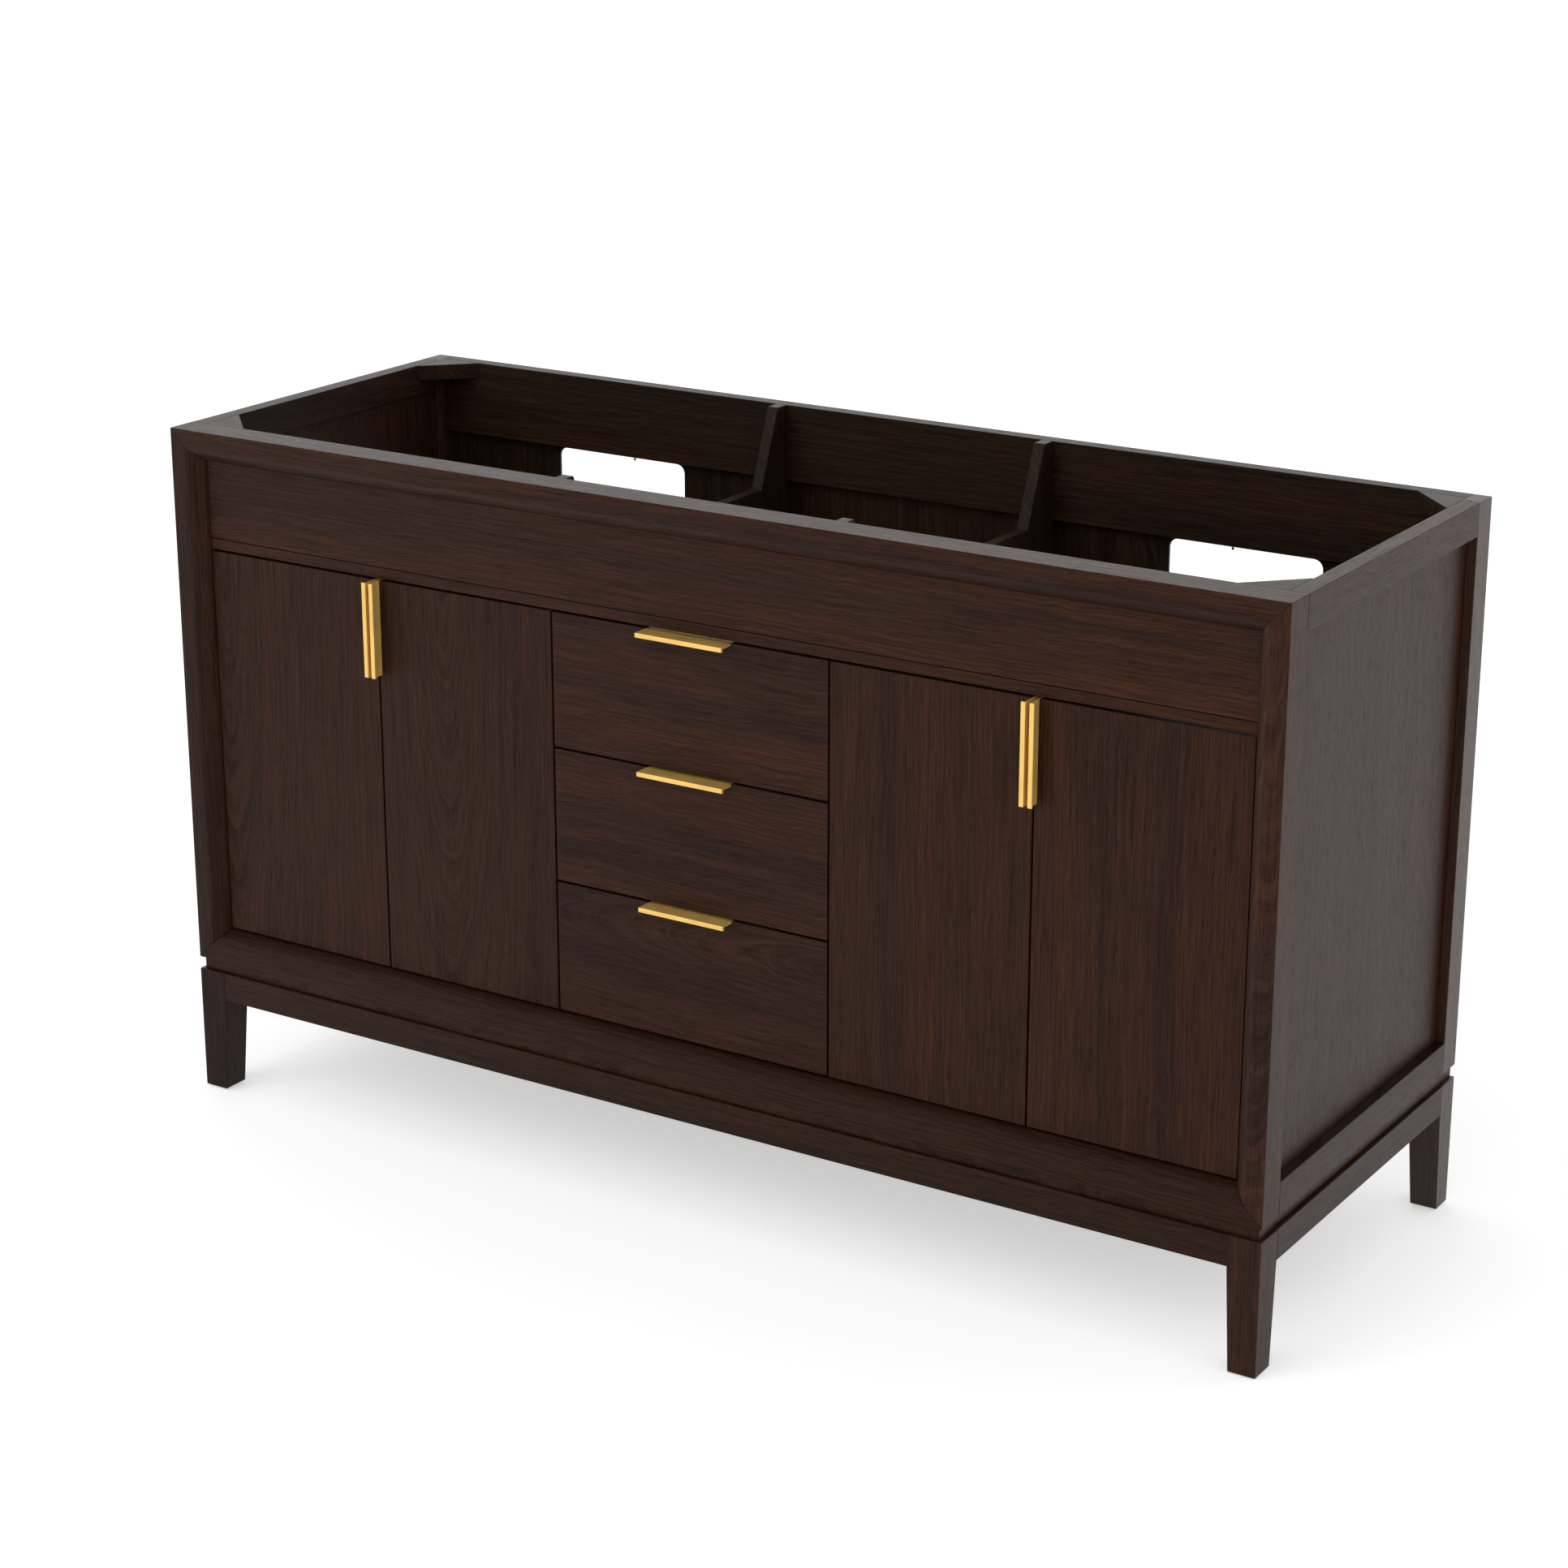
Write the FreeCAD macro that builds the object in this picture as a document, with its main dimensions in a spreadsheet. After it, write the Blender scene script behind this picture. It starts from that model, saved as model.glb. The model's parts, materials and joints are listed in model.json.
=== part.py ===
import FreeCAD, Part
import math
import os
import Sketcher

# Double bathroom vanity cabinet: a mitred front frame with two pairs of doors and a bank of three
# drawers, frame-and-panel sides, an open top for two basins, and a base of four tapered legs.
# X runs along the width, the front faces -Y, Z is up, and the origin is on the floor, centred.

DRIVING = {
    # overall size
    "width": 1524.0, "depth": 546.1, "height": 889.0,
    # base: legs, aprons, recessed band, glides
    "leg_top": 167.0, "apron_h": 38.0, "apron_t": 22.0, "band_h": 16.0, "band_inset": 5.0,
    "leg_foot_x": 34.0, "front_leg_foot_y": 37.0, "back_leg_foot_y": 31.5,
    "glide_h": 2.0, "glide_r": 11.0,
    # front frame and its inner moulding
    "stile_w": 40.5, "top_rail_h": 40.0, "bottom_rail_h": 40.5, "frame_t": 43.5,
    "flat_w": 22.0, "moulding_d": 20.0, "moulding_bulge": 3.0,
    # frame-and-panel sides
    "side_t": 22.5, "back_post_w": 38.5, "panel_recess": 12.3, "panel_t": 6.0, "groove_d": 6.0,
    # doors and drawer fronts
    "front_t": 20.0, "gap": 3.0, "edge_gap": 1.5, "door_w": 261.0,
    "fronts_bottom": 226.0, "fronts_top": 732.0, "strip_bottom": 735.0, "strip_top": 749.0,
    # carcass
    "board_t": 15.0, "back_rail_t": 21.0, "back_rail_h": 99.0, "back_panel_t": 5.0,
    "notch_depth": 100.0, "front_stub": 16.5, "back_stub": 20.0, "stub_slope": 38.5,
    "gusset_leg": 60.0, "gusset_t": 20.0,
    "cutout_w": 203.0, "cutout_h": 250.0, "cutout_top": 785.0, "cutout_r": 12.0,
    # edge pulls
    "pull_length": 120.0, "pull_reach": 19.0, "pull_t": 2.0, "pull_lip_w": 5.8, "pull_lip_t": 3.6,
    "pull_set": 13.0, "mortise": 3.0, "pull_round": 0.9,
    # concealed hinges
    "cup_r": 17.5, "cup_depth": 12.5, "cup_wall": 1.5, "cup_setback": 22.5, "hinge_end": 75.0,
    "flange_t": 1.5, "flange_w": 26.0, "flange_h": 60.0,
    "arm_back": 52.0, "arm_t": 14.0, "arm_h": 16.0, "link_t": 11.0, "arm_clear": 3.5,
    "plate_t": 3.0, "plate_h": 44.0,
    # drawer boxes and slides
    "box_clear": 8.0, "box_t": 12.0, "box_h": 110.0, "box_depth": 457.0, "box_rise": 25.0,
    "box_bottom_t": 6.0, "bottom_rise": 13.0,
    "slide_sheet": 1.5, "slide_drop": 16.0, "slide_flange_h": 34.0, "slide_w": 12.0,
    "slide_rail_h": 6.0, "slide_play": 0.4, "slide_bead_h": 5.6,
}

doc = FreeCAD.newDocument("vanity")
sheet = doc.addObject("Spreadsheet::Sheet", "Dims")
for row, (alias, size) in enumerate(DRIVING.items(), start=1):
    sheet.set(f"A{row}", alias)
    sheet.set(f"B{row}", str(size))
    sheet.setAlias(f"B{row}", alias)
doc.recompute()

# Expressions used again and again, written in the sheet's aliases.
HALF_W = "Dims.width / 2"
BODY_BOTTOM = "(Dims.leg_top + Dims.band_h)"
FRONT = "-Dims.depth / 2"
BACK = "Dims.depth / 2"
FRAME_BACK = "(-Dims.depth / 2 + Dims.frame_t)"
POST_FRONT = "(Dims.depth / 2 - Dims.back_post_w)"
DOOR_FACE = "(-Dims.depth / 2 + Dims.moulding_d)"
DOOR_BACK = "(-Dims.depth / 2 + Dims.moulding_d + Dims.front_t)"
SIDE_INNER = "(Dims.width / 2 - Dims.side_t)"
OPENING = "(Dims.width / 2 - Dims.stile_w)"
RAIL_TOP_Z = "(Dims.leg_top + Dims.band_h + Dims.bottom_rail_h)"
BACK_PANEL_FRONT = "(Dims.depth / 2 - Dims.back_panel_t)"
BACK_RAIL_FRONT = "(Dims.depth / 2 - Dims.back_rail_t)"
BACK_RAIL_BOTTOM = "(Dims.height - Dims.back_rail_h)"
DOOR_EDGE = "(Dims.width / 2 - Dims.stile_w - Dims.edge_gap)"
MEETING = "(Dims.width / 2 - Dims.stile_w - Dims.edge_gap - Dims.door_w - Dims.gap / 2)"
DRAWER_EDGE = "(Dims.width / 2 - Dims.stile_w - Dims.edge_gap - 2 * Dims.door_w - 2 * Dims.gap)"
DIVIDER_MID = f"({DRAWER_EDGE} + Dims.gap / 2)"
DIVIDER_IN = f"({DIVIDER_MID} - Dims.board_t / 2)"
DIVIDER_OUT = f"({DIVIDER_MID} + Dims.board_t / 2)"
DRAWER_FRONT_H = "((Dims.fronts_top - Dims.fronts_bottom - 2 * Dims.gap) / 3)"
MOULDING_W = "(Dims.stile_w - Dims.flat_w)"
TOP_MOULDING_W = "(Dims.top_rail_h - Dims.flat_w)"
LOW_MOULDING_W = "(Dims.bottom_rail_h - Dims.flat_w)"

SIDES = {"left": -1, "right": 1}
TOUCH = 0.01    # two points or planes nearer than this are the same
nodes = {}


def value(expression):
    """The number that an expression of the sheet's aliases stands for."""
    return float(sheet.evalExpression(expression))


def node(label, feature):
    """Register a finished sub-part under the name of its file."""
    feature.Label = label
    nodes[label] = feature


def arc_radius(wide, deep):
    """Radius of the moulding's arc over a chord that is wide by deep."""
    chord_squared = f"(({wide}) * ({wide}) + ({deep}) * ({deep}))"
    return f"({chord_squared} / (8 * Dims.moulding_bulge) + Dims.moulding_bulge / 2)"


def span(side, inner, outer):
    """Low and high X of a stretch given by its distances from the centre plane."""
    return (inner, outer) if side > 0 else (f"-({outer})", f"-({inner})")


def place(feature, x="0", y="0", z="0"):
    """Bind the feature's position to three expressions."""
    for axis, expression in zip("xyz", (x, y, z)):
        feature.setExpression(f"Placement.Base.{axis}", expression)


def block(name, low, high):
    """A box between two opposite corners, each given as three expressions."""
    box = doc.addObject("Part::Box", name)
    for size, lower, upper in zip(("Length", "Width", "Height"), low, high):
        box.setExpression(size, f"({upper}) - ({lower})")
    place(box, *low)
    return box


def rod(name, base, radius, length, axis):
    """A cylinder from its base point along +Y or +Z."""
    cylinder = doc.addObject("Part::Cylinder", name)
    if axis == "y":
        cylinder.Placement.Rotation = FreeCAD.Rotation(FreeCAD.Vector(1, 0, 0), -90)
    cylinder.setExpression("Radius", radius)
    cylinder.setExpression("Height", length)
    place(cylinder, *base)
    return cylinder


def cut(name, base, *tools):
    """The base with every tool taken away."""
    result = base
    for index, tool in enumerate(tools):
        feature = doc.addObject("Part::Cut", f"{name}_cut{index}")
        feature.Base = result
        feature.Tool = tool
        result = feature
    return result


def fuse(name, *shapes):
    """Several shapes as one solid."""
    feature = doc.addObject("Part::MultiFuse", f"{name}_fuse")
    feature.Shapes = list(shapes)
    return feature


def group(name, shapes):
    """Separate solids that share one node."""
    feature = doc.addObject("Part::Compound", f"{name}_group")
    feature.Links = list(shapes)
    return feature


def outline(body, name, role, corners, arcs=None):
    """A closed, fully constrained sketch on one of the body's own origin planes.

    Each corner is a pair of expressions. arcs maps an edge's number to the radius of the arc
    that replaces it and to the side, +1 or -1, on which the arc bulges from its chord.
    """
    arcs = arcs or {}
    sketch = body.newObject("Sketcher::SketchObject", name)
    plane = next(f for f in body.Origin.OriginFeatures if f.Role == role)
    sketch.AttachmentSupport = [(plane, "")]
    sketch.MapMode = "FlatFace"
    points = [FreeCAD.Vector(value(u), value(v), 0) for u, v in corners]
    count = len(points)
    for index, start in enumerate(points):
        end = points[(index + 1) % count]
        if index not in arcs:
            sketch.addGeometry(Part.LineSegment(start, end))
            continue
        radius, bulge_side = arcs[index]
        chord = end - start
        across = FreeCAD.Vector(chord.y, -chord.x, 0).normalize() * bulge_side
        half = chord.Length / 2
        arc_r = value(radius)
        sagitta = arc_r - math.sqrt(arc_r * arc_r - half * half)
        middle = (start + end) / 2 + across * sagitta
        anticlockwise = (start, middle, end) if bulge_side > 0 else (end, middle, start)
        sketch.addGeometry(Part.Arc(*anticlockwise))
    ends = [arc_ends(sketch, index, points[index]) for index in range(count)]
    for index in range(count):
        following = (index + 1) % count
        sketch.addConstraint(Sketcher.Constraint(
            "Coincident", index, ends[index][1], following, ends[following][0]))
    for index, (u, v) in enumerate(corners):
        for kind, expression, number in (("DistanceX", u, points[index].x),
                                         ("DistanceY", v, points[index].y)):
            constraint = sketch.addConstraint(Sketcher.Constraint(
                kind, -1, 1, index, ends[index][0], number))
            sketch.setExpression(f"Constraints[{constraint}]", expression)
    for index, (radius, _) in arcs.items():
        constraint = sketch.addConstraint(Sketcher.Constraint("Radius", index, value(radius)))
        sketch.setExpression(f"Constraints[{constraint}]", radius)
    return sketch


def arc_ends(sketch, index, start):
    """Which of an edge's two ends is its first corner, and which its second."""
    first = sketch.Geometry[index].StartPoint
    return (1, 2) if (first - start).Length < TOUCH else (2, 1)


def pad(body, name, sketch, length, both_ways=False):
    """The sketch's outline pushed out by length, or by half of it each way."""
    feature = body.newObject("PartDesign::Pad", name)
    feature.Profile = sketch
    feature.setExpression("Length", length)
    if both_ways:
        feature.SideType = "Symmetric"
    return feature


def pocket(body, name, sketch):
    """A cut right through, in both directions from its sketch."""
    feature = body.newObject("PartDesign::Pocket", name)
    feature.Profile = sketch
    feature.Type = "ThroughAll"
    feature.SideType = "Symmetric"


def round_edges(body, name, radius, chosen):
    """Fillet the edges of the body's last feature whose bounding box is chosen."""
    edges = [f"Edge{number}" for number, edge in enumerate(body.Shape.Edges, start=1)
             if chosen(edge.BoundBox)]
    last = body.Tip
    rounding = body.newObject("PartDesign::Fillet", name)
    rounding.Base = (last, edges)
    rounding.setExpression("Radius", radius)


def front_post(side_name, side):
    """Stile of the front frame: flat face, convex inner moulding, panel groove, mitred ends."""
    body = doc.addObject("PartDesign::Body", f"FrontPost_{side_name}")
    s = -side
    height = f"(Dims.height - {BODY_BOTTOM})"
    groove_in = "(Dims.panel_recess + Dims.panel_t)"
    groove_y = "(Dims.frame_t - Dims.groove_d)"
    corners = [("0", "0"), (f"{s} * Dims.flat_w", "0"), (f"{s} * Dims.stile_w", "Dims.moulding_d"),
               (f"{s} * Dims.stile_w", "Dims.frame_t"), (f"{s} * {groove_in}", "Dims.frame_t"),
               (f"{s} * {groove_in}", groove_y), (f"{s} * Dims.panel_recess", groove_y),
               (f"{s} * Dims.panel_recess", "Dims.frame_t"), ("0", "Dims.frame_t")]
    section = outline(body, f"PostSection_{side_name}", "XY_Plane", corners,
                      arcs={1: (arc_radius(MOULDING_W, "Dims.moulding_d"), s)})
    pad(body, f"PostPad_{side_name}", section, height)
    mitres = {
        "top": [("0", height), (f"{s} * Dims.stile_w", height),
                (f"{s} * Dims.stile_w", f"{height} - Dims.top_rail_h")],
        "bottom": [("0", "0"), (f"{s} * Dims.stile_w", "Dims.bottom_rail_h"),
                   (f"{s} * Dims.stile_w", "0")],
    }
    for end, triangle in mitres.items():
        sketch = outline(body, f"PostMitre_{end}_{side_name}", "XZ_Plane", triangle)
        pocket(body, f"PostMitreCut_{end}_{side_name}", sketch)
    place(body, f"{side} * {HALF_W}", FRONT, BODY_BOTTOM)
    node(f"front_post_{side_name}", body)


def front_rail(label, rail_h, moulding_w, up, low_z):
    """Rail of the front frame; up is +1 for the top rail and -1 for the bottom rail."""
    body = doc.addObject("PartDesign::Body", f"Body_{label}")
    if up > 0:
        corners = [("0", moulding_w), ("0", rail_h), ("Dims.frame_t", rail_h),
                   ("Dims.frame_t", "0"), ("Dims.moulding_d", "0")]
        arcs = {4: (arc_radius(moulding_w, "Dims.moulding_d"), -1)}
    else:
        corners = [("0", "0"), ("0", "Dims.flat_w"), ("Dims.moulding_d", rail_h),
                   ("Dims.frame_t", rail_h), ("Dims.frame_t", "0")]
        arcs = {1: (arc_radius(moulding_w, "Dims.moulding_d"), -1)}
    section = outline(body, f"Section_{label}", "YZ_Plane", corners, arcs=arcs)
    pad(body, f"Pad_{label}", section, "Dims.width", both_ways=True)
    outer, inner = (rail_h, "0") if up > 0 else ("0", rail_h)
    for side_name, side in SIDES.items():
        triangle = [(f"{side} * {HALF_W}", outer), (f"{side} * {HALF_W}", inner),
                    (f"{side} * {OPENING}", inner)]
        sketch = outline(body, f"Mitre_{label}_{side_name}", "XZ_Plane", triangle)
        pocket(body, f"MitreCut_{label}_{side_name}", sketch)
    place(body, y=FRONT, z=low_z)
    node(label, body)


def back_post(side_name, side):
    """Rear post of a side frame, with the groove that holds the panel."""
    body = doc.addObject("PartDesign::Body", f"BackPost_{side_name}")
    s = -side
    groove_in = "(Dims.panel_recess + Dims.panel_t)"
    corners = [("0", "0"), (f"{s} * Dims.panel_recess", "0"),
               (f"{s} * Dims.panel_recess", "Dims.groove_d"), (f"{s} * {groove_in}", "Dims.groove_d"),
               (f"{s} * {groove_in}", "0"), (f"{s} * Dims.side_t", "0"),
               (f"{s} * Dims.side_t", "Dims.back_post_w"), ("0", "Dims.back_post_w")]
    section = outline(body, f"BackPostSection_{side_name}", "XY_Plane", corners)
    pad(body, f"BackPostPad_{side_name}", section, f"Dims.height - {BODY_BOTTOM}")
    place(body, f"{side} * {HALF_W}", POST_FRONT, BODY_BOTTOM)
    node(f"back_post_{side_name}", body)


def side_frame(side_name, side):
    """Two rails between the posts of a side, and the thin panel in their grooves."""
    across = span(side, SIDE_INNER, HALF_W)
    panel = span(side, f"{HALF_W} - Dims.panel_recess - Dims.panel_t", f"{HALF_W} - Dims.panel_recess")
    panel_low = f"({RAIL_TOP_Z} - Dims.groove_d)"
    panel_high = "(Dims.height - Dims.top_rail_h + Dims.groove_d)"
    rails = []
    for end, low, high, groove in (
            ("top", "Dims.height - Dims.top_rail_h", "Dims.height",
             ("Dims.height - Dims.top_rail_h", panel_high)),
            ("bottom", BODY_BOTTOM, RAIL_TOP_Z, (panel_low, RAIL_TOP_Z))):
        name = f"side_rail_{end}_{side_name}"
        board = block(f"{name}_board", (across[0], FRAME_BACK, low), (across[1], POST_FRONT, high))
        slot = block(f"{name}_slot", (panel[0], FRAME_BACK, groove[0]), (panel[1], POST_FRONT, groove[1]))
        rails.append(cut(name, board, slot))
    node(f"side_rails_{side_name}", group(f"side_rails_{side_name}", rails))
    sheet_panel = block(f"panel_{side_name}",
                        (panel[0], f"{FRAME_BACK} - Dims.groove_d", panel_low),
                        (panel[1], f"{POST_FRONT} + Dims.groove_d", panel_high))
    node(f"side_panel_{side_name}", sheet_panel)


def fixed_fronts():
    """False front above the doors and the narrow strip under it."""
    low = (f"-{OPENING}", DOOR_FACE)
    high = (OPENING, DOOR_BACK)
    node("false_front_panel", block("false_front", (*low, "Dims.strip_top"),
                                    (*high, "Dims.height - Dims.top_rail_h")))
    node("face_strip", block("strip", (*low, "Dims.strip_bottom"), (*high, "Dims.strip_top")))


def back():
    """Top rail across the back and a thin panel with two rounded plumbing cut-outs."""
    node("back_top_rail", block("back_rail", (f"-{SIDE_INNER}", BACK_RAIL_FRONT, BACK_RAIL_BOTTOM),
                                (SIDE_INNER, BACK, "Dims.height")))
    body = doc.addObject("PartDesign::Body", "BackPanel")
    rim = [(f"-{SIDE_INNER}", BODY_BOTTOM), (SIDE_INNER, BODY_BOTTOM),
           (SIDE_INNER, BACK_RAIL_BOTTOM), (f"-{SIDE_INNER}", BACK_RAIL_BOTTOM)]
    pad(body, "BackPanelPad", outline(body, "BackPanelRim", "XZ_Plane", rim),
        "Dims.back_panel_t", both_ways=True)
    low, high = "(Dims.cutout_top - Dims.cutout_h)", "Dims.cutout_top"
    for side_name, side in SIDES.items():
        left = f"({side} * {MEETING} - Dims.cutout_w / 2)"
        right = f"({side} * {MEETING} + Dims.cutout_w / 2)"
        hole = outline(body, f"Cutout_{side_name}", "XZ_Plane",
                       [(left, low), (right, low), (right, high), (left, high)])
        pocket(body, f"CutoutCut_{side_name}", hole)
    doc.recompute()
    thick, outer_x = value("Dims.back_panel_t"), value(SIDE_INNER)
    round_edges(body, "CutoutCorners", "Dims.cutout_r",
                lambda box: abs(box.YLength - thick) < TOUCH and abs(abs(box.XMin) - outer_x) > TOUCH)
    place(body, y=f"{BACK} - Dims.back_panel_t / 2")
    node("back_panel", body)


def deck():
    """Floor of the carcass, level with the top of the bottom rail."""
    node("deck_panel", block("deck", (f"-{SIDE_INNER}", FRAME_BACK, f"{RAIL_TOP_Z} - Dims.board_t"),
                             (SIDE_INNER, BACK_PANEL_FRONT, RAIL_TOP_Z)))


def divider(side_name, side):
    """Upright board beside the drawers, notched at the top between two sloping stubs."""
    body = doc.addObject("PartDesign::Body", f"Divider_{side_name}")
    notch_z = "(Dims.height - Dims.notch_depth)"
    front_stub = f"({FRAME_BACK} + Dims.front_stub)"
    back_stub = f"({BACK_RAIL_FRONT} - Dims.back_stub)"
    corners = [(FRAME_BACK, RAIL_TOP_Z), (FRAME_BACK, "Dims.height"), (front_stub, "Dims.height"),
               (f"{front_stub} + Dims.stub_slope", notch_z), (f"{back_stub} - Dims.stub_slope", notch_z),
               (back_stub, "Dims.height"), (BACK_RAIL_FRONT, "Dims.height"),
               (BACK_RAIL_FRONT, BACK_RAIL_BOTTOM), (BACK_PANEL_FRONT, BACK_RAIL_BOTTOM),
               (BACK_PANEL_FRONT, RAIL_TOP_Z)]
    pad(body, f"DividerPad_{side_name}", outline(body, f"DividerSide_{side_name}", "YZ_Plane", corners),
        "Dims.board_t", both_ways=True)
    place(body, x=f"{side} * {DIVIDER_MID}")
    node(f"divider_{side_name}", body)


def gussets():
    """Triangular blocks in the four top corners, flush with the rim."""
    blocks = []
    for side_name, side in SIDES.items():
        for end, corner_y, inward in (("front", FRAME_BACK, 1), ("back", BACK_RAIL_FRONT, -1)):
            body = doc.addObject("PartDesign::Body", f"Gusset_{end}_{side_name}")
            corners = [("0", "0"), (f"{-side} * Dims.gusset_leg", "0"),
                       ("0", f"{inward} * Dims.gusset_leg")]
            sketch = outline(body, f"GussetOutline_{end}_{side_name}", "XY_Plane", corners)
            pad(body, f"GussetPad_{end}_{side_name}", sketch, "Dims.gusset_t")
            place(body, f"{side} * {SIDE_INNER}", corner_y, "Dims.height - Dims.gusset_t")
            blocks.append(body)
    node("corner_gussets", group("corner_gussets", blocks))


def recessed_band():
    """Four strips, set back from the front and the sides, between the body and the base."""
    outer = f"({HALF_W} - Dims.band_inset)"
    front_y = f"({FRONT} + Dims.band_inset)"
    z = ("Dims.leg_top", BODY_BOTTOM)
    strips = [block("band_front", (f"-{outer}", front_y, z[0]), (outer, FRAME_BACK, z[1])),
              block("band_back", (f"-{outer}", POST_FRONT, z[0]), (outer, BACK, z[1]))]
    for side_name, side in SIDES.items():
        across = span(side, OPENING, outer)
        strips.append(block(f"band_{side_name}", (across[0], FRAME_BACK, z[0]),
                            (across[1], POST_FRONT, z[1])))
    node("recessed_band", group("recessed_band", strips))


def leg(end, side_name, side):
    """Square at the apron, tapering on its two inner faces down to the foot."""
    label = f"leg_{end}_{side_name}"
    body = doc.addObject("PartDesign::Body", f"Body_{label}")
    s = -side
    is_front = end == "front"
    deep = "Dims.frame_t" if is_front else "Dims.back_post_w"
    foot_y = "Dims.front_leg_foot_y" if is_front else "Dims.back_leg_foot_y"
    inward = 1 if is_front else -1
    top = "(Dims.leg_top - Dims.glide_h)"
    knee = "(Dims.leg_top - Dims.apron_h - Dims.glide_h)"
    corners = [("0", "0"), (f"{s} * Dims.leg_foot_x", "0"), (f"{s} * Dims.stile_w", knee),
               (f"{s} * Dims.stile_w", top), ("0", top)]
    shape = outline(body, f"Face_{label}", "XZ_Plane", corners)
    solid = pad(body, f"Pad_{label}", shape, deep)
    solid.Reversed = is_front
    taper = [(f"{inward} * {foot_y}", "0"), (f"{inward} * {deep}", "0"), (f"{inward} * {deep}", knee)]
    pocket(body, f"Taper_{label}", outline(body, f"TaperSide_{label}", "YZ_Plane", taper))
    place(body, f"{side} * {HALF_W}", FRONT if is_front else BACK, "Dims.glide_h")
    node(label, body)


def aprons():
    """Rails between the legs, flush with their outer faces."""
    z = ("Dims.leg_top - Dims.apron_h", "Dims.leg_top")
    node("apron_front", block("apron_f", (f"-{OPENING}", FRONT, z[0]),
                              (OPENING, f"{FRONT} + Dims.apron_t", z[1])))
    node("apron_back", block("apron_b", (f"-{OPENING}", f"{BACK} - Dims.apron_t", z[0]),
                             (OPENING, BACK, z[1])))
    for side_name, side in SIDES.items():
        across = span(side, f"{HALF_W} - Dims.apron_t", HALF_W)
        node(f"apron_{side_name}", block(f"apron_{side_name}_board", (across[0], FRAME_BACK, z[0]),
                                         (across[1], POST_FRONT, z[1])))


def glides():
    """Round plastic discs that the legs stand on."""
    discs = []
    for side_name, side in SIDES.items():
        x = f"{side} * ({HALF_W} - Dims.leg_foot_x / 2)"
        for end, y in (("front", f"{FRONT} + Dims.front_leg_foot_y / 2"),
                       ("back", f"{BACK} - Dims.back_leg_foot_y / 2")):
            discs.append(rod(f"glide_{end}_{side_name}", (x, y, "0"), "Dims.glide_r", "Dims.glide_h", "z"))
    node("foot_glides", group("foot_glides", discs))


def edge_pull(label, position, inward, run):
    """L-section pull: a plate let into the edge and a lip turned towards the front it is on.

    inward points from the edge into the front, and run is the direction of its length.
    """
    body = doc.addObject("PartDesign::Body", f"Body_{label}")
    reach = "-Dims.pull_reach"
    lip_back = "(-Dims.pull_reach + Dims.pull_lip_t)"
    corners = [("0", reach), ("Dims.pull_lip_w", reach), ("Dims.pull_lip_w", lip_back),
               ("Dims.pull_t", lip_back), ("Dims.pull_t", "Dims.pull_set"), ("0", "Dims.pull_set")]
    section = outline(body, f"Section_{label}", "XY_Plane", corners)
    pad(body, f"Pad_{label}", section, "Dims.pull_length")
    doc.recompute()
    long_way, plate_x, lip_y = value("Dims.pull_length"), value("Dims.pull_t"), value(lip_back)
    round_edges(body, f"Round_{label}", "Dims.pull_round",
                lambda box: abs(box.ZLength - long_way) < TOUCH and box.YMax < lip_y + TOUCH
                and abs(box.XMin - plate_x) > TOUCH)
    body.Placement.Rotation = FreeCAD.Rotation(inward, FreeCAD.Vector(0, 1, 0), run, "ZXY")
    place(body, *position)
    node(label, body)


def hinge_heights():
    """Z of a door's two hinges."""
    return ("(Dims.fronts_bottom + Dims.hinge_end)", "(Dims.fronts_top - Dims.hinge_end)")


def door(name, low_x, high_x, hinge_side):
    """Slab door: pull let into its free edge, two hinge cups bored into its back."""
    hinge_x, free_x = (low_x, high_x) if hinge_side < 0 else (high_x, low_x)
    into = -hinge_side
    slab = block(f"{name}_slab", (low_x, DOOR_FACE, "Dims.fronts_bottom"),
                 (high_x, DOOR_BACK, "Dims.fronts_top"))
    slot_x = (f"{free_x} - Dims.mortise", free_x) if into > 0 else (free_x, f"{free_x} + Dims.mortise")
    slot = block(f"{name}_slot", (slot_x[0], DOOR_FACE, "Dims.fronts_top - Dims.pull_length"),
                 (slot_x[1], f"{DOOR_FACE} + Dims.pull_set", "Dims.fronts_top"))
    cup_x = f"({hinge_x} + {into} * Dims.cup_setback)"
    bores = [rod(f"{name}_bore{index}", (cup_x, f"{DOOR_BACK} - Dims.cup_depth", z),
                 "Dims.cup_r", "Dims.cup_depth", "y") for index, z in enumerate(hinge_heights())]
    node(name, cut(name, slab, slot, *bores))
    cups = [hinge_cup(f"{name}_cup{index}", cup_x, z) for index, z in enumerate(hinge_heights())]
    node(f"{name}_hinge_cups", group(f"{name}_cups", cups))
    plate_x = f"({free_x} - {into} * (Dims.mortise - Dims.pull_t))"
    if into > 0:
        edge_pull(f"{name}_pull", (plate_x, DOOR_FACE, "Dims.fronts_top"),
                  FreeCAD.Vector(-1, 0, 0), FreeCAD.Vector(0, 0, -1))
    else:
        edge_pull(f"{name}_pull", (plate_x, DOOR_FACE, "Dims.fronts_top - Dims.pull_length"),
                  FreeCAD.Vector(1, 0, 0), FreeCAD.Vector(0, 0, 1))


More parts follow.
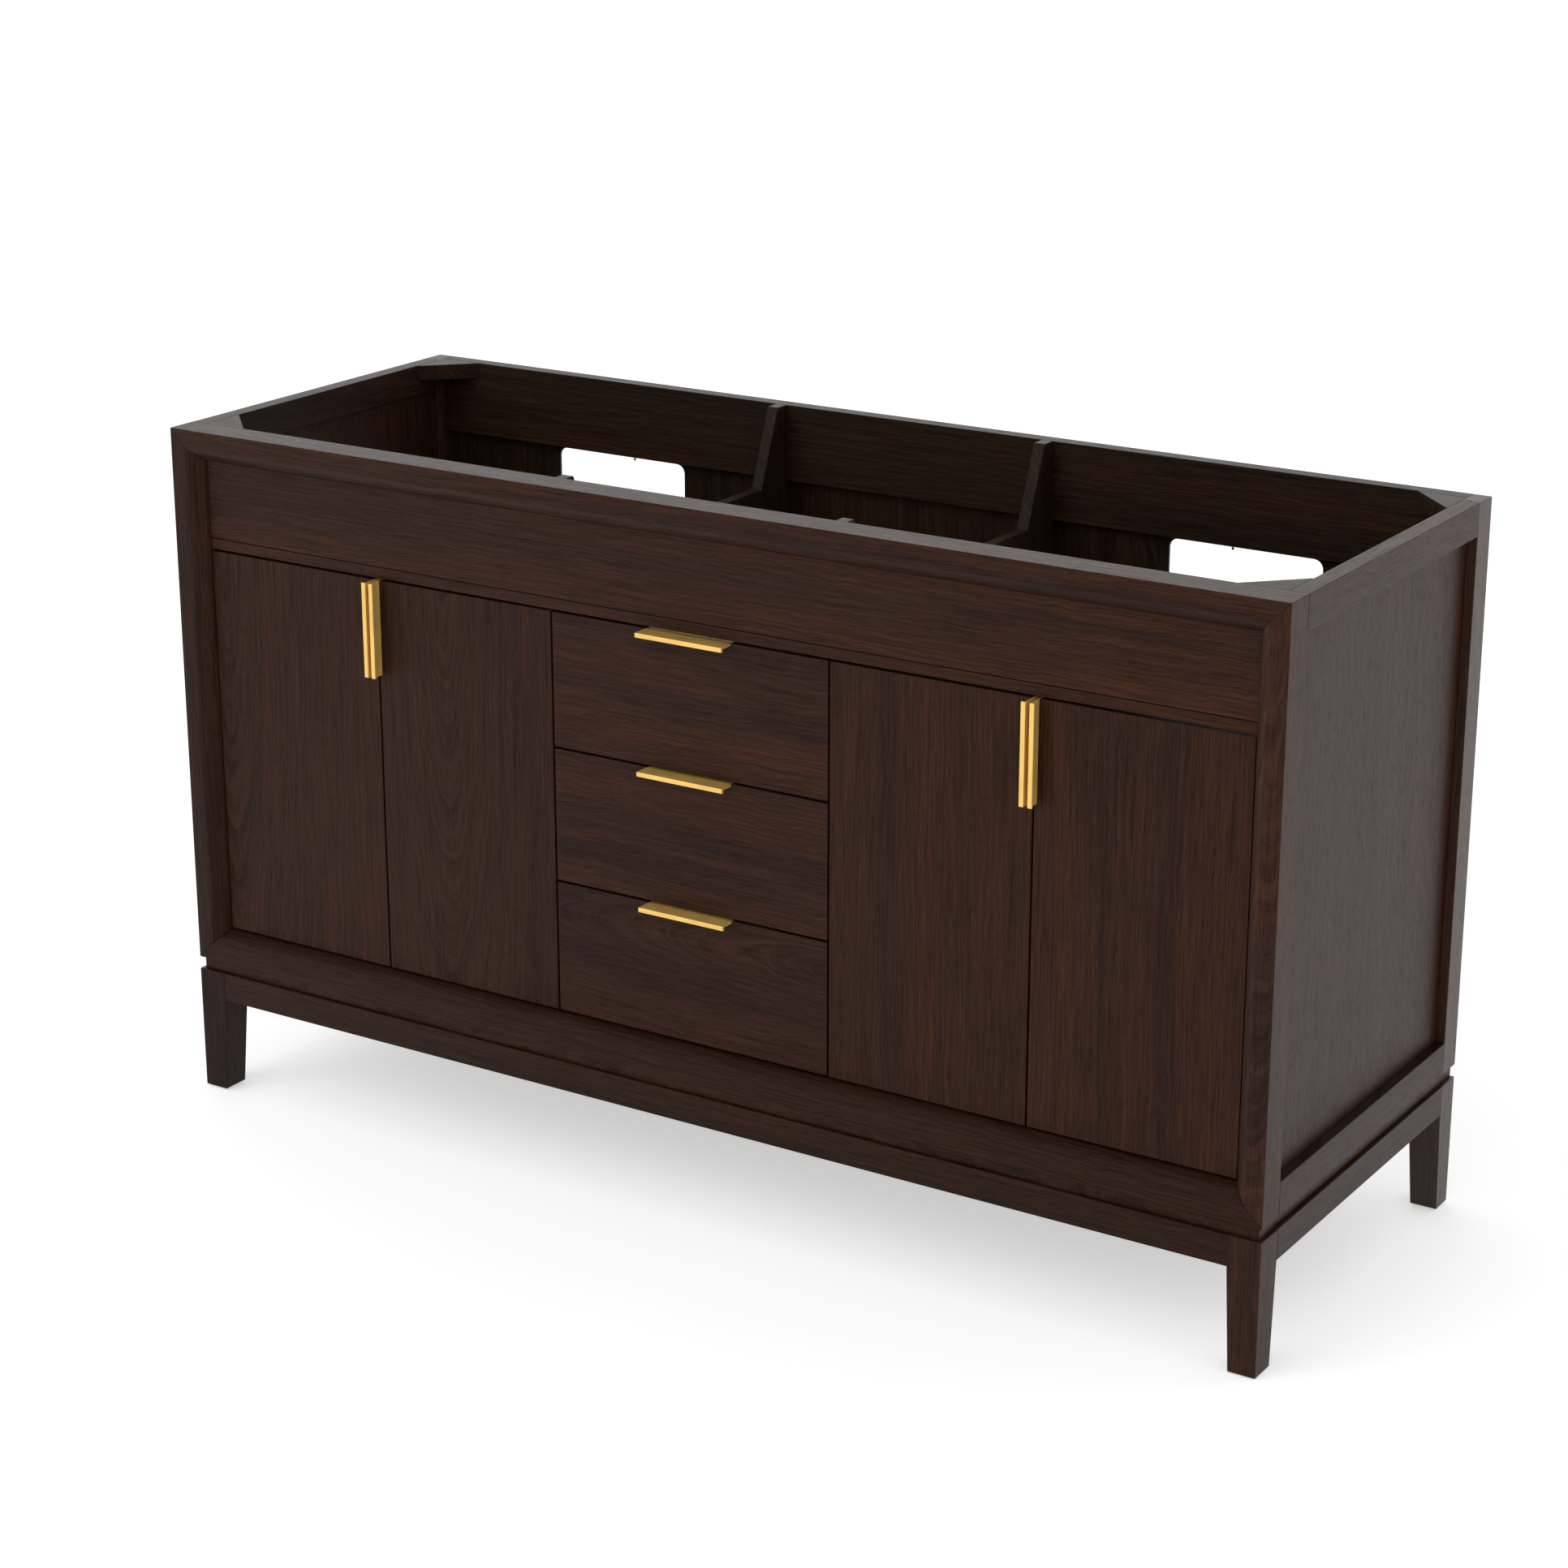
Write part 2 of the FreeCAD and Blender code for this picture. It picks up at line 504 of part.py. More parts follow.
def hinge_cup(name, x, z):
    """Pressed cup with its screw flange, open towards the cabinet."""
    drum = rod(f"{name}_drum", (x, f"{DOOR_BACK} - Dims.cup_depth", z), "Dims.cup_r", "Dims.cup_depth", "y")
    flange = block(f"{name}_flange", (f"{x} - Dims.flange_w / 2", DOOR_BACK, f"{z} - Dims.flange_h / 2"),
                   (f"{x} + Dims.flange_w / 2", f"{DOOR_BACK} + Dims.flange_t", f"{z} + Dims.flange_h / 2"))
    hollow_r = "Dims.flange_w / 2 - Dims.cup_wall"
    hollow = rod(f"{name}_hollow", (x, f"{DOOR_BACK} - Dims.cup_depth + Dims.cup_wall", z),
                 hollow_r, "Dims.cup_depth + Dims.flange_t", "y")
    return cut(name, fuse(name, drum, flange), hollow)


def hinge_arm(name, wall_x, cup_x, z, side):
    """Base plate on an upright, an arm along it, and a link that ends behind the cup.

    side is +1 where the cup lies to the right of the upright, otherwise -1.
    """
    def across(near, far):
        return (near, far) if side > 0 else (far, near)

    front_y = f"({DOOR_BACK} + Dims.flange_t + Dims.arm_clear)"
    back_y = f"({FRAME_BACK} + Dims.arm_back)"
    plate_x = across(wall_x, f"{wall_x} + {side} * Dims.plate_t")
    arm_x = across(f"{wall_x} + {side} * Dims.plate_t", f"{wall_x} + {side} * (Dims.plate_t + Dims.arm_t)")
    link_x = across(f"{wall_x} + {side} * (Dims.plate_t + Dims.arm_t)", f"{cup_x} + {side} * Dims.link_t / 2")
    plate = block(f"{name}_plate", (plate_x[0], FRAME_BACK, f"{z} - Dims.plate_h / 2"),
                  (plate_x[1], back_y, f"{z} + Dims.plate_h / 2"))
    arm = block(f"{name}_arm", (arm_x[0], front_y, f"{z} - Dims.arm_h / 2"),
                (arm_x[1], back_y, f"{z} + Dims.arm_h / 2"))
    link = block(f"{name}_link", (link_x[0], front_y, f"{z} - Dims.arm_h / 2"),
                 (link_x[1], f"{front_y} + Dims.link_t", f"{z} + Dims.arm_h / 2"))
    return fuse(name, plate, arm, link)


def doors():
    """Two pairs of doors; each pair meets in the middle of its bay."""
    meeting_out = f"({MEETING} + Dims.gap / 2)"
    meeting_in = f"({MEETING} - Dims.gap / 2)"
    inner_edge = f"({DRAWER_EDGE} + Dims.gap)"
    arms = []
    for side_name, side in SIDES.items():
        outer = span(side, meeting_out, DOOR_EDGE)
        inner = span(side, inner_edge, meeting_in)
        door(f"door_outer_{side_name}", *outer, side)
        door(f"door_inner_{side_name}", *inner, -side)
        for index, z in enumerate(hinge_heights()):
            arms.append(hinge_arm(f"arm_outer_{side_name}{index}", f"{side} * {SIDE_INNER}",
                                  f"{side} * ({DOOR_EDGE} - Dims.cup_setback)", z, -side))
            arms.append(hinge_arm(f"arm_inner_{side_name}{index}", f"{side} * {DIVIDER_OUT}",
                                  f"{side} * ({inner_edge} + Dims.cup_setback)", z, side))
    node("hinge_arms", group("hinge_arms", arms))


def drawer(name, level):
    """Front, four-board box, bottom, pull and slides of one drawer, counted up from the lowest.

    Returns the two slide members that stay on the cabinet.
    """
    low = f"(Dims.fronts_bottom + {level} * ({DRAWER_FRONT_H} + Dims.gap))"
    high = f"({low} + {DRAWER_FRONT_H})"
    half_pull = "Dims.pull_length / 2"
    face = block(f"{name}_face", (f"-{DRAWER_EDGE}", DOOR_FACE, low), (DRAWER_EDGE, DOOR_BACK, high))
    slot = block(f"{name}_slot", (f"-{half_pull}", DOOR_FACE, f"{high} - Dims.mortise"),
                 (half_pull, f"{DOOR_FACE} + Dims.pull_set", high))
    node(f"{name}_front", cut(f"{name}_front", face, slot))
    edge_pull(f"{name}_pull", (f"-{half_pull}", DOOR_FACE, f"{high} - Dims.mortise + Dims.pull_t"),
              FreeCAD.Vector(0, 0, -1), FreeCAD.Vector(1, 0, 0))
    base = f"({low} + Dims.box_rise)"
    rim = f"({base} + Dims.box_h)"
    outer = f"({DIVIDER_IN} - Dims.box_clear)"
    inner = f"({outer} - Dims.box_t)"
    rear = f"({DOOR_BACK} + Dims.box_depth)"
    boards = [block(f"{name}_box_front", (f"-{inner}", DOOR_BACK, base),
                    (inner, f"{DOOR_BACK} + Dims.box_t", rim)),
              block(f"{name}_box_back", (f"-{inner}", f"{rear} - Dims.box_t", base), (inner, rear, rim))]
    cabinet_members, middle_members, drawer_members = [], [], []
    for side_name, side in SIDES.items():
        x = span(side, inner, outer)
        boards.append(block(f"{name}_box_{side_name}", (x[0], DOOR_BACK, base), (x[1], rear, rim)))
        members = slide(f"{name}_{side_name}", side, base, inner, rear)
        cabinet_members.append(members[0])
        middle_members.append(members[1])
        drawer_members.append(members[2])
    node(f"{name}_box", group(f"{name}_box", boards))
    under = f"({base} + Dims.bottom_rise)"
    node(f"{name}_bottom", block(f"{name}_bottom_panel", (f"-{inner}", f"{DOOR_BACK} + Dims.box_t", under),
                                 (inner, f"{rear} - Dims.box_t", f"{under} + Dims.box_bottom_t")))
    node(f"{name}_slide_middle", group(f"{name}_middle", middle_members))
    node(f"{name}_slide_runners", group(f"{name}_runners", drawer_members))
    return cabinet_members


def slide(name, side, base, inner, rear):
    """Three members of one undermount slide: fixed angle and rail, middle bar, drawer runner."""
    wall = DIVIDER_IN
    front_y = f"({DOOR_BACK} + Dims.box_t + Dims.slide_play)"
    back_y = f"({rear} - Dims.box_t - Dims.slide_play)"
    shelf_low = f"({base} - Dims.slide_drop)"
    shelf_high = f"({shelf_low} + Dims.slide_sheet)"
    rail_high = f"({shelf_high} + Dims.slide_rail_h)"
    middle_low = f"({rail_high} + Dims.slide_play)"
    middle_high = f"({middle_low} + Dims.slide_bead_h)"
    runner_low = f"({middle_high} + Dims.slide_play)"
    runner_high = f"({base} + Dims.bottom_rise)"
    rail_in = f"({inner} - Dims.slide_play - Dims.slide_w)"
    rail_out = f"({inner} - Dims.slide_play)"
    flange_x = span(side, f"{wall} - Dims.slide_sheet", wall)
    flange = block(f"{name}_flange", (flange_x[0], front_y, shelf_low),
                   (flange_x[1], back_y, f"{shelf_low} + Dims.slide_flange_h"))
    shelf_x = span(side, rail_in, wall)
    shelf = block(f"{name}_shelf", (shelf_x[0], front_y, shelf_low), (shelf_x[1], back_y, shelf_high))
    rail_x = span(side, rail_in, rail_out)
    rail = block(f"{name}_rail", (rail_x[0], front_y, shelf_high), (rail_x[1], back_y, rail_high))
    fixed = fuse(f"{name}_fixed", flange, shelf, rail)
    middle = block(f"{name}_middle", (rail_x[0], front_y, middle_low), (rail_x[1], back_y, middle_high))
    runner = block(f"{name}_runner", (rail_x[0], front_y, runner_low), (rail_x[1], back_y, runner_high))
    return fixed, middle, runner


def build():
    """Every sub-part of the cabinet."""
    for side_name, side in SIDES.items():
        front_post(side_name, side)
        back_post(side_name, side)
        side_frame(side_name, side)
        divider(side_name, side)
        for end in ("front", "back"):
            leg(end, side_name, side)
    front_rail("front_top_rail", "Dims.top_rail_h", TOP_MOULDING_W, 1, "Dims.height - Dims.top_rail_h")
    front_rail("front_bottom_rail", "Dims.bottom_rail_h", LOW_MOULDING_W, -1, BODY_BOTTOM)
    fixed_fronts()
    back()
    deck()
    gussets()
    recessed_band()
    aprons()
    glides()
    doors()
    fixed_members = []
    for level, name in enumerate(("drawer_bottom", "drawer_middle", "drawer_top")):
        fixed_members += drawer(name, level)
    node("slide_cabinet_members", group("slide_cabinet_members", fixed_members))


def check():
    """Stop if any object failed or any sub-part has no valid solid."""
    faults = [f"{feature.Name}: {feature.State}" for feature in doc.Objects
              if "Invalid" in feature.State or "Error" in feature.State]
    for label, feature in nodes.items():
        shape = feature.Shape
        if shape.isNull() or not shape.isValid() or not shape.Solids:
            faults.append(f"{label}: shape is null, empty or not valid")
    if faults:
        raise SystemExit("\n".join(faults))


def write():
    """One STEP file for each sub-part."""
    os.makedirs("parts", exist_ok=True)
    for label, feature in nodes.items():
        feature.Shape.exportStep(os.path.join("parts", f"{label}.step"))


build()
doc.recompute()
check()
write()
print(f"{len(nodes)} nodes")
for label, feature in nodes.items():
    box = feature.Shape.BoundBox
    print(f"{label}: x {box.XMin:.1f}..{box.XMax:.1f}  y {box.YMin:.1f}..{box.YMax:.1f}  "
          f"z {box.ZMin:.1f}..{box.ZMax:.1f}  solids {len(feature.Shape.Solids)}")
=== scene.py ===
import json
import math
import random

import bmesh
import bpy
from mathutils import Matrix, Vector


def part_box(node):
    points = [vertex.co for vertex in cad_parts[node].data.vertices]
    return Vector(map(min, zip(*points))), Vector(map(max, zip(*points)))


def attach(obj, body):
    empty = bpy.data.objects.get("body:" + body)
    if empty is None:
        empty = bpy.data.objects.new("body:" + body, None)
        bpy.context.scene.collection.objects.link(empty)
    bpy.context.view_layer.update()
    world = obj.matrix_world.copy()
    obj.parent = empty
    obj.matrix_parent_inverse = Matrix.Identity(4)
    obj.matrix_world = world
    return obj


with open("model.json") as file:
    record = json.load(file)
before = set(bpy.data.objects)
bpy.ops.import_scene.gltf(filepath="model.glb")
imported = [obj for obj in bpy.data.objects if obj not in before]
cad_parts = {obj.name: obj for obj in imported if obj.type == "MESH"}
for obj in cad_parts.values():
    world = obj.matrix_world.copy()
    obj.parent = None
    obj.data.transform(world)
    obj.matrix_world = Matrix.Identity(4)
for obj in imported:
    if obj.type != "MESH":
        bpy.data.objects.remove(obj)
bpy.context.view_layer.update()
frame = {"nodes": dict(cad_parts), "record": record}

# Looks of a double bathroom vanity cabinet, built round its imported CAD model. All lengths are
# in metres, in the model's own frame: X along the width, the front faces -Y, Z up.

MM = 0.001
LEVELS = ("top", "middle", "bottom")
SIDES = ("left", "right")
DOORS = [f"door_{place}_{side}" for side in SIDES for place in ("outer", "inner")]
DRAWERS = [f"drawer_{level}" for level in LEVELS]
SLOT_OF = {part["node"]: part["material_slot"] for part in frame["record"]["subparts"]}

# Linear colours of the stained wood: cool dark streaks, the ground, and warm red streaks.
ESPRESSO = {"cool": (0.0197, 0.0088, 0.0056), "ground": (0.0268, 0.0108, 0.0054),
            "warm": (0.0340, 0.0121, 0.0056)}
INTERIOR = {"cool": (0.0158, 0.0088, 0.0052), "ground": (0.0205, 0.0105, 0.0059),
            "warm": (0.0255, 0.0121, 0.0063)}
BIRCH = {"cool": (0.40, 0.255, 0.130), "ground": (0.52, 0.365, 0.205), "warm": (0.63, 0.455, 0.275)}


# ---------------------------------------------------------------- shader nodes

# Sockets of a Mix node that mixes colours, which share their names with those for other kinds.
MIX_FACTOR, MIX_FIRST, MIX_SECOND, MIX_RESULT = 0, 6, 7, 2


class Tree:
    """Adds nodes to a shader node tree; an input is a number, a tuple or another node's socket."""

    def __init__(self, tree):
        self.tree = tree

    def add(self, kind, inputs=None, **settings):
        made = self.tree.nodes.new(kind)
        for name, setting in settings.items():
            setattr(made, name, setting)
        for name, given in (inputs or {}).items():
            if isinstance(given, bpy.types.NodeSocket):
                self.tree.links.new(given, made.inputs[name])
            else:
                made.inputs[name].default_value = given
        return made

    def math(self, operation, *values, clamp=False):
        return self.add("ShaderNodeMath", dict(enumerate(values)), operation=operation,
                        use_clamp=clamp).outputs[0]

    def vector(self, operation, *values):
        return self.add("ShaderNodeVectorMath", dict(enumerate(values)), operation=operation).outputs[0]

    def combine(self, x=0.0, y=0.0, z=0.0):
        return self.add("ShaderNodeCombineXYZ", {"X": x, "Y": y, "Z": z}).outputs[0]

    def separate(self, vector):
        return self.add("ShaderNodeSeparateXYZ", {"Vector": vector}).outputs

    def noise(self, vector, scale=1.0, detail=2.0, roughness=0.5):
        return self.add("ShaderNodeTexNoise", {
            "Vector": vector, "Scale": scale, "Detail": detail, "Roughness": roughness}).outputs["Fac"]

    def remap(self, value, low, high, to_low=0.0, to_high=1.0):
        return self.add("ShaderNodeMapRange", {
            "Value": value, "From Min": low, "From Max": high, "To Min": to_low,
            "To Max": to_high}, interpolation_type="SMOOTHSTEP").outputs["Result"]

    def mix(self, factor, first, second, blend="MIX"):
        made = self.add("ShaderNodeMix", data_type="RGBA", blend_type=blend)
        for index, given in ((MIX_FACTOR, factor), (MIX_FIRST, first), (MIX_SECOND, second)):
            if isinstance(given, bpy.types.NodeSocket):
                self.tree.links.new(given, made.inputs[index])
            else:
                made.inputs[index].default_value = (*given, 1) if isinstance(given, tuple) else given
        return made.outputs[MIX_RESULT]

    def scaled(self, value, by):
        """A value times another."""
        return self.math("MULTIPLY", value, by)

    def grey(self, value):
        """The colour whose three channels are the value."""
        return self.combine(value, value, value)


FLOAT, VECTOR, COLOR = "NodeSocketFloat", "NodeSocketVector", "NodeSocketColor"


def new_group(name, inputs, outputs):
    """An empty node group with (kind, name) sockets: the group, its tree, inputs and output node."""
    group = bpy.data.node_groups.new(name, "ShaderNodeTree")
    for socket_kind, socket_name in inputs:
        group.interface.new_socket(socket_name, in_out="INPUT", socket_type=socket_kind)
    for socket_kind, socket_name in outputs:
        group.interface.new_socket(socket_name, in_out="OUTPUT", socket_type=socket_kind)
    tree = Tree(group)
    return group, tree, tree.add("NodeGroupInput").outputs, tree.add("NodeGroupOutput")


def edge_group():
    """How near a point on a box-like piece is to the box's edges: 1 on an edge, 0 further in."""
    group, tree, given, out = new_group("edge_distance", [
        (VECTOR, "Centre"), (VECTOR, "Half"), (FLOAT, "Reach")], [(FLOAT, "Edge")])
    here = tree.add("ShaderNodeTexCoord").outputs["Object"]
    offset = tree.vector("ABSOLUTE", tree.vector("SUBTRACT", here, given["Centre"]))
    x, y, z = tree.separate(tree.vector("SUBTRACT", given["Half"], offset))
    smaller, larger = tree.math("MINIMUM", x, y), tree.math("MAXIMUM", x, y)
    second = tree.math("MAXIMUM", smaller, tree.math("MINIMUM", larger, z))
    ragged = tree.noise(here, scale=60.0, detail=3.0)
    reach = tree.math("MULTIPLY", given["Reach"], tree.math("ADD", ragged, 0.35))
    share = tree.math("DIVIDE", second, reach)
    tree.tree.links.new(tree.math("SUBTRACT", 1.0, share, clamp=True), out.inputs["Edge"])
    return group


def wood_group():
    """Stained timber cut from a log: colour, roughness and height for a place in the log.

    Place runs along the grain, across it and below the face. Pith has the board's middle in
    Place, and how far the log's core line is from it across and below; Lean is that line's slope.
    """
    group, tree, given, out = new_group("timber", [
        (VECTOR, "Place"), (VECTOR, "Pith"), (FLOAT, "Lean"), (COLOR, "Cool"), (COLOR, "Ground"),
        (COLOR, "Warm"), (FLOAT, "Edge"), (FLOAT, "Contrast")],
        [(COLOR, "Color"), (FLOAT, "Roughness"), (FLOAT, "Height")])
    along, across, deep = tree.separate(given["Place"])
    start, pith_across, pith_deep = tree.separate(given["Pith"])

    def grain(lengthwise, crosswise, detail, roughness=0.5):
        """Noise drawn out along the grain, with so many features a metre along and across it."""
        return tree.noise(tree.combine(
            tree.scaled(along, lengthwise), tree.scaled(across, crosswise),
            tree.scaled(deep, crosswise)), detail=detail, roughness=roughness)

    # How far a point is from the core line, which wanders and ripples a little.
    wander = tree.math("ADD", tree.scaled(grain(1.6, 7.0, 2.0), 30 * MM),
                       tree.scaled(grain(24.0, 60.0, 2.0, 0.6), 1.6 * MM))
    ripple = tree.math("SUBTRACT", grain(26.0, 9.0, 2.0), 0.5)
    from_core = tree.math("ADD", tree.math("SUBTRACT", across, pith_across),
                          tree.scaled(ripple, 9 * MM))
    slope = tree.scaled(tree.math("SUBTRACT", along, start), given["Lean"])
    under_core = tree.math("ADD", tree.math("SUBTRACT", deep, pith_deep),
                           tree.math("ADD", tree.scaled(ripple, 4 * MM), slope))
    ring = tree.math("ADD", wander, tree.math("SQRT", tree.math(
        "ADD", tree.scaled(from_core, from_core), tree.scaled(under_core, under_core))))

    def rings(lengthwise, outwards, detail, roughness=0.5):
        """Noise in layers round the core line, with so many layers a metre outwards."""
        return tree.noise(tree.combine(tree.scaled(along, lengthwise), tree.scaled(ring, outwards)),
                          detail=detail, roughness=roughness)

    # Broad and narrow bands of stain, then the growth rings, the fibres and the open pores.
    band = tree.math("ADD", tree.scaled(rings(0.45, 17.0, 1.0), 0.62),
                     tree.scaled(rings(1.2, 70.0, 2.0), 0.38))
    cool = tree.remap(band, 0.50, 0.38)
    warm = tree.remap(band, 0.52, 0.66)
    growth = rings(6.0, 440.0, 4.0, 0.72)
    streak = grain(14.0, 430.0, 3.0, 0.75)
    pores = tree.remap(grain(60.0, 900.0, 1.0), 0.56, 0.70)
    colour = tree.mix(warm, tree.mix(cool, given["Ground"], given["Cool"]), given["Warm"])
    fine = tree.math("ADD", tree.scaled(growth, 1.15), tree.scaled(streak, 0.85))
    swing = tree.scaled(tree.remap(fine, 0.68, 1.32, -0.52, 0.54), given["Contrast"])
    colour = tree.mix(1.0, colour, tree.grey(tree.math("ADD", swing, 1.01)), "MULTIPLY")
    filled = tree.scaled(tree.scaled(pores, 0.35), given["Contrast"])
    colour = tree.mix(filled, colour, (0.0, 0.0, 0.0))
    # A warmer, lighter rim along the box's edges: a painted highlight like the warm glow on an eased
    # edge.
    edge_highlight = tree.mix(1.0, given["Warm"], (1.35, 1.25, 1.15), "MULTIPLY")
    colour = tree.mix(tree.scaled(given["Edge"], 0.22), colour, edge_highlight)
    rough = tree.math("ADD", tree.remap(streak, 0.3, 0.7, 0.36, 0.46), tree.scaled(pores, 0.10))
    height = tree.math("SUBTRACT", tree.scaled(streak, 0.6), pores)
    for name, socket in (("Color", colour), ("Roughness", rough), ("Height", height)):
        tree.tree.links.new(socket, out.inputs[name])
    return group


EDGE = edge_group()
TIMBER = wood_group()


def new_material(name):
    """A material with an empty tree; returns it, its tree helper and its Principled shader."""
    material = bpy.data.materials.new(name)
    material.use_nodes = True
    material.node_tree.nodes.clear()
    tree = Tree(material.node_tree)
    shader = tree.add("ShaderNodeBsdfPrincipled")
    tree.add("ShaderNodeOutputMaterial", {"Surface": shader.outputs["BSDF"]})
    return material, tree, shader


def edge_of(tree, low, high, reach):
    """The edge factor of a box-like piece."""
    return tree.add("ShaderNodeGroup", {"Centre": (low + high) / 2, "Half": (high - low) / 2,
                                        "Reach": reach}, node_tree=EDGE).outputs["Edge"]


def surface(tree, shader, colour, roughness, height, strength, depth):
    """Link a Principled shader to its colour, its roughness and a bump of the given depth."""
    bump = tree.add("ShaderNodeBump", {"Height": height, "Strength": strength, "Distance": depth})
    for name, socket in (("Base Color", colour), ("Roughness", roughness),
                         ("Normal", bump.outputs["Normal"])):
        tree.tree.links.new(socket, shader.inputs[name])


def timber(name, colours, grain, low, high, cut, tone=1.0, gloss=1.28, contrast=1.0):
    """Wood for the box from low to high with its grain along an axis: 0 X, 1 Y, 2 Z."""
    material, tree, shader = new_material(name)
    (pith_across, pith_deep), lean = cut
    # tone scales the stain colours: stain that differs from board to board, and on some boards painted
    # shade or a painted sheen.
    stain = {key.capitalize(): (*(share * tone for share in colour), 1)
             for key, colour in colours.items()}
    here = tree.separate(tree.add("ShaderNodeTexCoord").outputs["Object"])

    def breadth(axis):
        """How wide the box is, with Y counted half, so that a square post's face is its front."""
        return (high - low)[axis] / (2 if axis == 1 else 1)

    across, deep = sorted(set(range(3)) - {grain}, key=breadth, reverse=True)
    centre = (low + high) / 2
    start = random.Random(name).uniform(2, 12)
    shifts = (start - centre[grain], -centre[across], -centre[deep])
    place = tree.combine(*(tree.math("ADD", here[axis], shift)
                           for axis, shift in zip((grain, across, deep), shifts)))
    figure = tree.add("ShaderNodeGroup", {
        "Place": place, "Pith": (start, pith_across, pith_deep), "Lean": lean, **stain,
        "Edge": edge_of(tree, low, high, 1.6 * MM), "Contrast": contrast}, node_tree=TIMBER).outputs
    surface(tree, shader, figure["Color"], figure["Roughness"], figure["Height"], 0.35, 0.25 * MM)
    shader.inputs["IOR"].default_value = gloss
    shader.inputs["Specular Tint"].default_value = (0.25, 0.25, 0.25, 1)
    return material


def metal(name, colour, brushed, low, high, roughness, metallic=1.0):
    """Brushed or plated metal; brushed is the axis of its fine lines."""
    material, tree, shader = new_material(name)
    here = tree.separate(tree.add("ShaderNodeTexCoord").outputs["Object"])
    scales = [1400.0] * 3
    scales[brushed] = 25.0
    lines = tree.noise(tree.combine(*(tree.scaled(here[axis], scales[axis]) for axis in range(3))),
                       detail=2.0)
    cloud = tree.noise(tree.combine(*here), scale=35.0, detail=3.0)
    dull = tree.remap(tree.math("ADD", tree.scaled(lines, 0.5), tree.scaled(cloud, 0.5)),
                      0.3, 0.7, 0.88, 1.12)
    worn = tree.math("ADD", dull, tree.scaled(edge_of(tree, low, high, 0.9 * MM), 0.06))
    base = tree.mix(1.0, colour, tree.grey(worn), "MULTIPLY")
    rough = tree.remap(tree.math("ADD", tree.scaled(lines, 0.6), tree.scaled(cloud, 0.4)),
                       0.3, 0.7, roughness - 0.05, roughness + 0.07)
    surface(tree, shader, base, rough, lines, 0.15, 0.05 * MM)
    shader.inputs["Metallic"].default_value = metallic
    return material


def plastic(name, colour, roughness, gloss=1.45):
    """Fine-textured moulded plastic."""
    material, tree, shader = new_material(name)
    here = tree.add("ShaderNodeTexCoord").outputs["Object"]
    grit = tree.noise(here, scale=1500.0, detail=2.0)
    shade = tree.remap(tree.noise(here, scale=90.0, detail=2.0), 0.3, 0.7, 0.8, 1.2)
    base = tree.mix(1.0, colour, tree.grey(shade), "MULTIPLY")
    rough = tree.remap(grit, 0.3, 0.7, roughness - 0.06, roughness + 0.06)
    surface(tree, shader, base, rough, grit, 0.2, 0.05 * MM)
    shader.inputs["IOR"].default_value = gloss
    return material


# ---------------------------------------------------------------- which finish each node has

BRASS = (0.79, 0.50, 0.135)
NICKEL = (0.62, 0.61, 0.585)
ZINC = (0.52, 0.54, 0.555)

# Where the log's core lies from a board's middle, across and below its face, and its slope:
# close to the face it gives a flamed strip.
PLAIN_CUT = ((0.35, 0.08), 0.02)
CUTS = {"door_outer_left": ((-0.112, 0.022), 0.10), "door_inner_left": ((-0.030, 0.030), 0.11),
        "door_inner_right": ((0.30, 0.05), 0.02), "door_outer_right": ((0.40, 0.03), 0.01),
        "front_post_right": ((0.004, 0.034), 0.10), "front_post_left": ((0.030, 0.040), 0.01),
        "drawer_bottom_front": ((0.050, 0.030), 0.13), "drawer_top_front": ((0.25, 0.05), 0.02),
        "false_front_panel": ((0.200, 0.060), 0.02)}
# Factors on each board's colour. Most stand for boards that took more or less stain; the low factors on
# the bottom rail, the apron and the front left leg are painted shade near the floor, and the raised
# ones on the back posts are a painted sheen.
STAIN_AND_SHADE_TONES = {"front_bottom_rail": 0.78, "apron_front": 0.76, "leg_front_left": 0.62,
         "leg_front_right": 1.12, "drawer_bottom_front": 0.93, "drawer_top_front": 1.05,
         "back_post_right": 1.3, "back_post_left": 1.3, "door_outer_left": 0.91,
         "door_inner_left": 0.93, "door_outer_right": 1.03, "front_post_left": 1.04,
         "front_post_right": 1.20, "front_top_rail": 1.06, "false_front_panel": 1.06}


def grain_axis(node):
    """The axis that the wood's grain follows: 0 X, 1 Y, 2 Z."""
    if "post" in node or "leg" in node or node.startswith(("door", "side_panel", "divider")):
        return 2
    if node == "back_panel":
        return 2
    if node.startswith("side_rails") or node in ("apron_left", "apron_right"):
        return 1
    return 0


def finish_node(node):
    """Give a CAD node its material and softened edges."""
    piece = frame["nodes"][node]
    low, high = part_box(node)
    kind = SLOT_OF[node]
    if kind == "brass":
        run = max(range(3), key=lambda axis: high[axis] - low[axis])
        made, round_off = metal(f"brass_{node}", BRASS, run, low, high, 0.36, 0.45), 0.15 * MM
    elif kind == "hinge_steel":
        made, round_off = metal(f"nickel_{node}", NICKEL, 1, low, high, 0.26), 0.5 * MM
    elif kind == "slide_steel":
        made, round_off = metal(f"zinc_{node}", ZINC, 1, low, high, 0.34), 0.25 * MM
    elif kind == "glide_plastic":
        made, round_off = plastic(f"plastic_{node}", (0.02, 0.02, 0.02), 0.5), 0.4 * MM
    else:
        made, round_off = wooden(node, kind, low, high), 0.8 * MM
    piece.data.materials.clear()
    piece.data.materials.append(made)
    if node.endswith("_box") or node == "recessed_band":
        side_boards(piece, node, kind, low, high)
    soften(piece, 1.2 * MM if node in ("face_strip", "false_front_panel") else round_off)


def side_boards(piece, node, kind, low, high):
    """Turn the grain along Y on the boards at the two sides of a frame of four."""
    piece.data.materials.append(wooden(node, kind, low, high, grain=1))
    for face in piece.data.polygons:
        if abs(face.normal.x) > 0.5 or abs(face.center.x) > high.x - 12 * MM:
            face.material_index = 1


